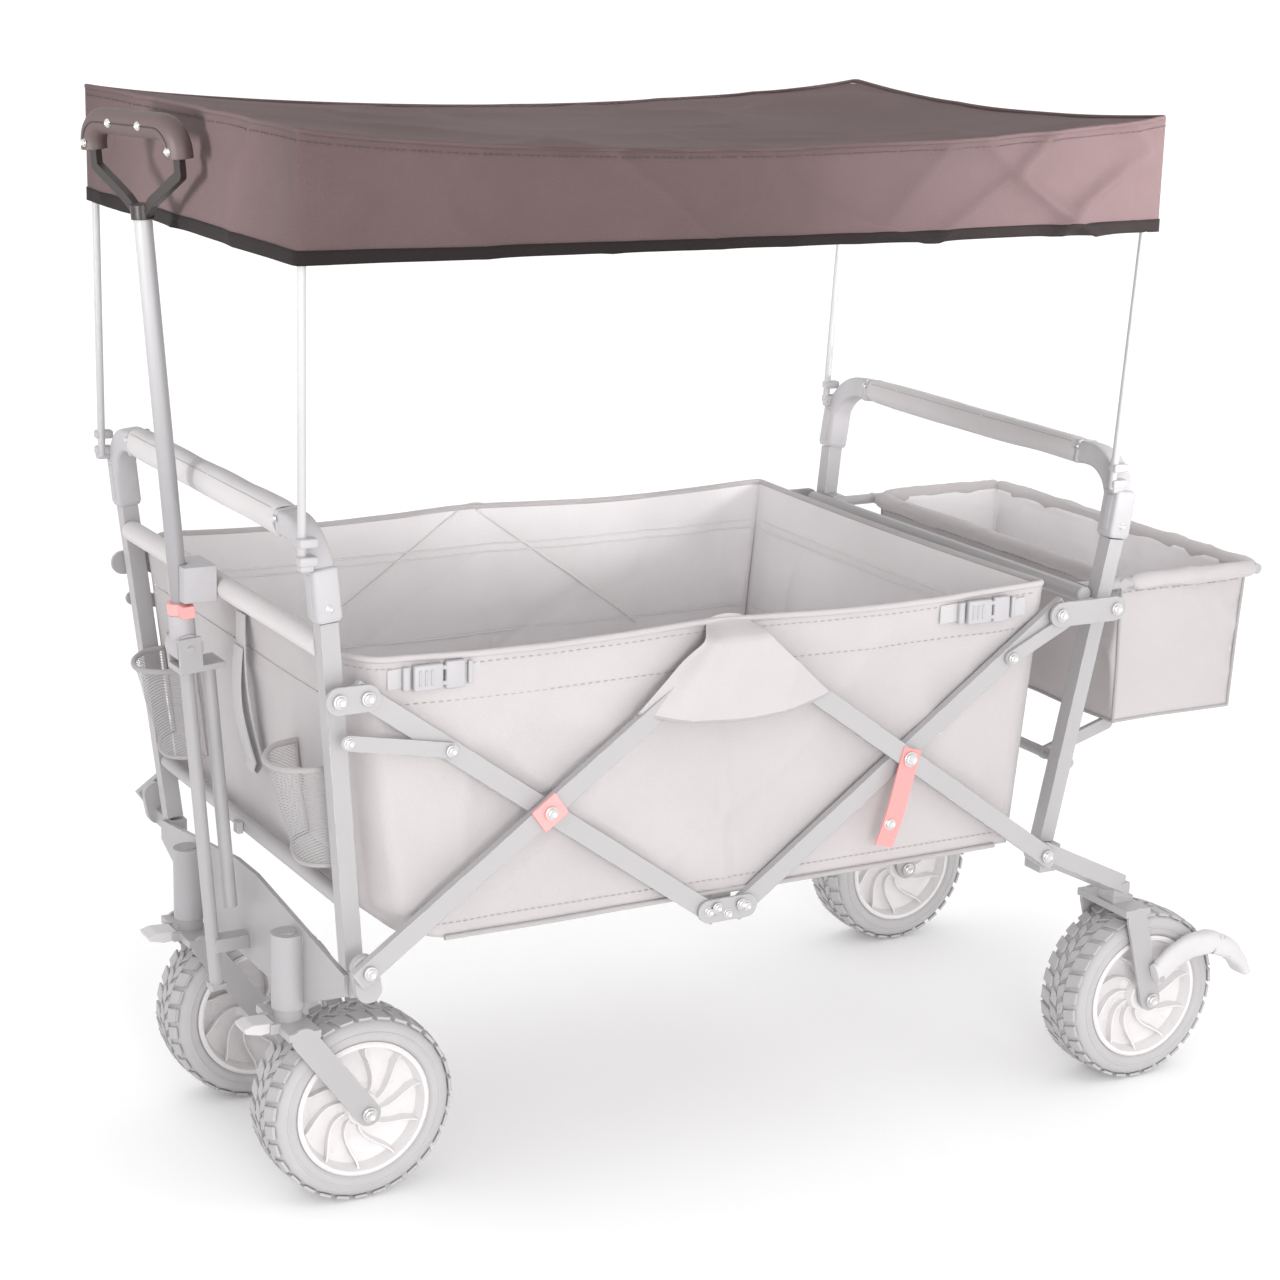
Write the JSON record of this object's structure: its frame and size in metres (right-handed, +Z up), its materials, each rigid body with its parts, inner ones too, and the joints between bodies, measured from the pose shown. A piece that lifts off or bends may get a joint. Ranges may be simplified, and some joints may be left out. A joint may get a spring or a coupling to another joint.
{
  "type": "folding pull wagon",
  "caption": "Folding fabric pull wagon with a scissor frame, swivel front wheels, centre pull handle, padded push bars, a flat canopy on poles and a rear basket.",
  "frame": {"origin": "middle of the wagon's bounding box, on the floor under the wheels", "axes": "+X towards the rear basket, +Y towards the far side, +Z up"},
  "size_m": [1.2481, 0.625, 1.083],
  "materials": {
    "frame_enamel": "satin powder coat",
    "moulded_black": "moulded nylon",
    "basket_cloth": "coated woven polyester",
    "basket_lining": "coated woven polyester",
    "canopy_cloth": "woven polyester",
    "canopy_binding": "folded tape",
    "mesh_cloth": "open mesh",
    "webbing": "ribbed webbing",
    "grip_pad": "padded cloth sleeve",
    "tyre_rubber": "treaded rubber",
    "hub_white": "moulded",
    "pedal_grey": "moulded",
    "red_plastic": "moulded",
    "red_webbing": "ribbed webbing",
    "handle_tube_grey": "satin powder coat",
    "handle_grip_black": "soft moulded",
    "zinc": "zinc plated"
  },
  "bodies": {
    "front_frame": {"front_posts": "frame_enamel", "front_elbows": "moulded_black", "front_push_bar": "frame_enamel", "front_grip_pad": "grip_pad", "front_upper_rail": "basket_cloth", "front_lower_rail": "frame_enamel", "front_feet": "frame_enamel", "caster_beam": "frame_enamel", "handle_column": "frame_enamel", "latch_block": "moulded_black", "front_poles": "frame_enamel", "basket": "basket_cloth", "floor_mat": "basket_lining", "front_pockets": "mesh_cloth", "side_buckles": "moulded_black", "front_strap": "webbing", "canopy": "canopy_cloth"},
    "arm_b": {"scissor_b": "frame_enamel", "pivot_plates": "red_plastic"},
    "arm_a": {"scissor_a": "frame_enamel"},
    "arm_c": {"scissor_c": "frame_enamel"},
    "arm_d": {"scissor_d": "frame_enamel", "fold_strap": "red_webbing"},
    "top_bracket": {"top_brackets": "frame_enamel"},
    "base_bracket": {"base_brackets": "frame_enamel"},
    "front_slider": {"front_slide_brackets": "frame_enamel"},
    "rear_slider": {"rear_slide_brackets": "frame_enamel"},
    "front_link": {"front_links": "frame_enamel"},
    "rear_link": {"rear_links": "frame_enamel"},
    "rear_frame": {"rear_posts": "frame_enamel", "rear_elbows": "moulded_black", "rear_push_bar": "frame_enamel", "rear_grip_wrap": "grip_pad", "rear_upper_rail": "frame_enamel", "rear_legs": "frame_enamel", "rear_forks": "frame_enamel", "rear_basket_frame": "frame_enamel", "rear_basket": "basket_cloth", "rear_basket_struts": "frame_enamel", "rear_poles": "frame_enamel"},
    "rear_wheel_near": {"tyre_rear_near": "tyre_rubber", "hub_rear_near": "hub_white"},
    "rear_wheel_far": {"tyre_rear_far": "tyre_rubber", "hub_rear_far": "hub_white"},
    "rear_pedal_near": {"rear_pedal_near": "frame_enamel"},
    "rear_pedal_far": {"rear_pedal_far": "frame_enamel"},
    "caster_near": {"caster_fork_near": "frame_enamel"},
    "caster_far": {"caster_fork_far": "frame_enamel"},
    "front_wheel_near": {"tyre_front_near": "tyre_rubber", "hub_front_near": "hub_white"},
    "front_wheel_far": {"tyre_front_far": "tyre_rubber", "hub_front_far": "hub_white"},
    "caster_pedal_near": {"caster_pedal_near": "pedal_grey"},
    "caster_pedal_far": {"caster_pedal_far": "pedal_grey"},
    "handle": {"handle_joint": "moulded_black", "handle_tube": "handle_tube_grey", "handle_yoke": "handle_grip_black", "handle_grip": "handle_grip_black"},
    "handle_latch": {"handle_latch": "red_plastic"}
  },
  "joints": [
    {"name": "frame_fold", "type": "hinge", "parent": "front_frame", "child": "arm_b", "pos_m": [-0.48656, 0, 0.304], "axis": [0, -1, 0], "range_deg": [0, 39], "deforming": ["basket", "floor_mat", "side_buckles", "canopy"]},
    {"name": "cross_front", "type": "hinge", "parent": "arm_b", "child": "arm_a", "pos_m": [-0.30056, 0, 0.437], "axis": [0, -1, 0], "range_deg": [-78.01, 0]},
    {"name": "post_slide_front", "type": "hinge", "parent": "arm_a", "child": "front_slider", "pos_m": [-0.48656, 0, 0.57], "axis": [0, -1, 0], "range_deg": [0, 39.01]},
    {"name": "link_front", "type": "hinge", "parent": "arm_a", "child": "front_link", "pos_m": [-0.40197, 0, 0.50951], "axis": [0, -1, 0], "range_deg": [0, 117.79]},
    {"name": "base_pivot", "type": "hinge", "parent": "arm_a", "child": "base_bracket", "pos_m": [-0.11456, 0, 0.304], "axis": [0, -1, 0], "range_deg": [0, 39.01]},
    {"name": "top_pivot_front", "type": "hinge", "parent": "arm_b", "child": "top_bracket", "pos_m": [-0.11456, 0, 0.57], "axis": [0, -1, 0], "range_deg": [-39.01, 0]},
    {"name": "top_pivot_rear", "type": "hinge", "parent": "top_bracket", "child": "arm_d", "pos_m": [-0.07056, 0, 0.57], "axis": [0, -1, 0], "range_deg": [-39.01, 0]},
    {"name": "foot_rear", "type": "hinge", "parent": "arm_d", "child": "rear_frame", "pos_m": [0.30144, 0, 0.304], "axis": [0, -1, 0], "range_deg": [0, 39.01]},
    {"name": "cross_rear", "type": "hinge", "parent": "arm_d", "child": "arm_c", "pos_m": [0.11544, 0, 0.437], "axis": [0, -1, 0], "range_deg": [0, 78.01]},
    {"name": "post_slide_rear", "type": "hinge", "parent": "arm_c", "child": "rear_slider", "pos_m": [0.30144, 0, 0.57], "axis": [0, -1, 0], "range_deg": [-39.01, 0]},
    {"name": "link_rear", "type": "hinge", "parent": "arm_c", "child": "rear_link", "pos_m": [0.24368, 0, 0.5287], "axis": [0, -1, 0], "range_deg": [-122.47, 0]},
    {"name": "caster_swivel_near", "type": "hinge", "parent": "front_frame", "child": "caster_near", "pos_m": [-0.50156, -0.14, 0.2], "axis": [0, 0, 1], "continuous": true},
    {"name": "front_wheel_spin_near", "type": "hinge", "parent": "caster_near", "child": "front_wheel_near", "pos_m": [-0.43356, -0.14, 0.1], "axis": [0, 1, 0], "continuous": true},
    {"name": "caster_lock_near", "type": "hinge", "parent": "caster_near", "child": "caster_pedal_near", "pos_m": [-0.52356, -0.14, 0.197], "axis": [0, -1, 0], "range_deg": [0, 12]},
    {"name": "rear_wheel_spin_near", "type": "hinge", "parent": "rear_frame", "child": "rear_wheel_near", "pos_m": [0.47944, -0.242, 0.1], "axis": [0, 1, 0], "continuous": true},
    {"name": "rear_brake_near", "type": "hinge", "parent": "rear_frame", "child": "rear_pedal_near", "pos_m": [0.48144, -0.293, 0.13], "axis": [0, 1, 0], "range_deg": [0, 18]},
    {"name": "caster_swivel_far", "type": "hinge", "parent": "front_frame", "child": "caster_far", "pos_m": [-0.50156, 0.14, 0.2], "axis": [0, 0, 1], "continuous": true},
    {"name": "front_wheel_spin_far", "type": "hinge", "parent": "caster_far", "child": "front_wheel_far", "pos_m": [-0.43356, 0.14, 0.1], "axis": [0, 1, 0], "continuous": true},
    {"name": "caster_lock_far", "type": "hinge", "parent": "caster_far", "child": "caster_pedal_far", "pos_m": [-0.52356, 0.14, 0.197], "axis": [0, -1, 0], "range_deg": [0, 12]},
    {"name": "rear_wheel_spin_far", "type": "hinge", "parent": "rear_frame", "child": "rear_wheel_far", "pos_m": [0.47944, 0.242, 0.1], "axis": [0, 1, 0], "continuous": true},
    {"name": "rear_brake_far", "type": "hinge", "parent": "rear_frame", "child": "rear_pedal_far", "pos_m": [0.48144, 0.293, 0.13], "axis": [0, 1, 0], "range_deg": [0, 18]},
    {"name": "handle_tilt", "type": "hinge", "parent": "front_frame", "child": "handle", "pos_m": [-0.55356, 0, 0.553], "axis": [0, 1, 0], "range_deg": [-90, 0]},
    {"name": "latch_turn", "type": "hinge", "parent": "handle", "child": "handle_latch", "pos_m": [-0.55356, 0, 0.553], "axis": [-0.0802, 0, 0.9968], "range_deg": [0, 35]}
  ],
  "couplings": [
    {"joint": "cross_front", "follows": "frame_fold", "ratio": -2},
    {"joint": "post_slide_front", "follows": "frame_fold", "ratio": 1},
    {"joint": "link_front", "follows": "frame_fold", "ratio": 3.02},
    {"joint": "base_pivot", "follows": "frame_fold", "ratio": 1},
    {"joint": "top_pivot_front", "follows": "frame_fold", "ratio": -1},
    {"joint": "top_pivot_rear", "follows": "frame_fold", "ratio": -1},
    {"joint": "foot_rear", "follows": "frame_fold", "ratio": 1},
    {"joint": "cross_rear", "follows": "frame_fold", "ratio": 2},
    {"joint": "post_slide_rear", "follows": "frame_fold", "ratio": -1},
    {"joint": "link_rear", "follows": "frame_fold", "ratio": -3.14}
  ]
}
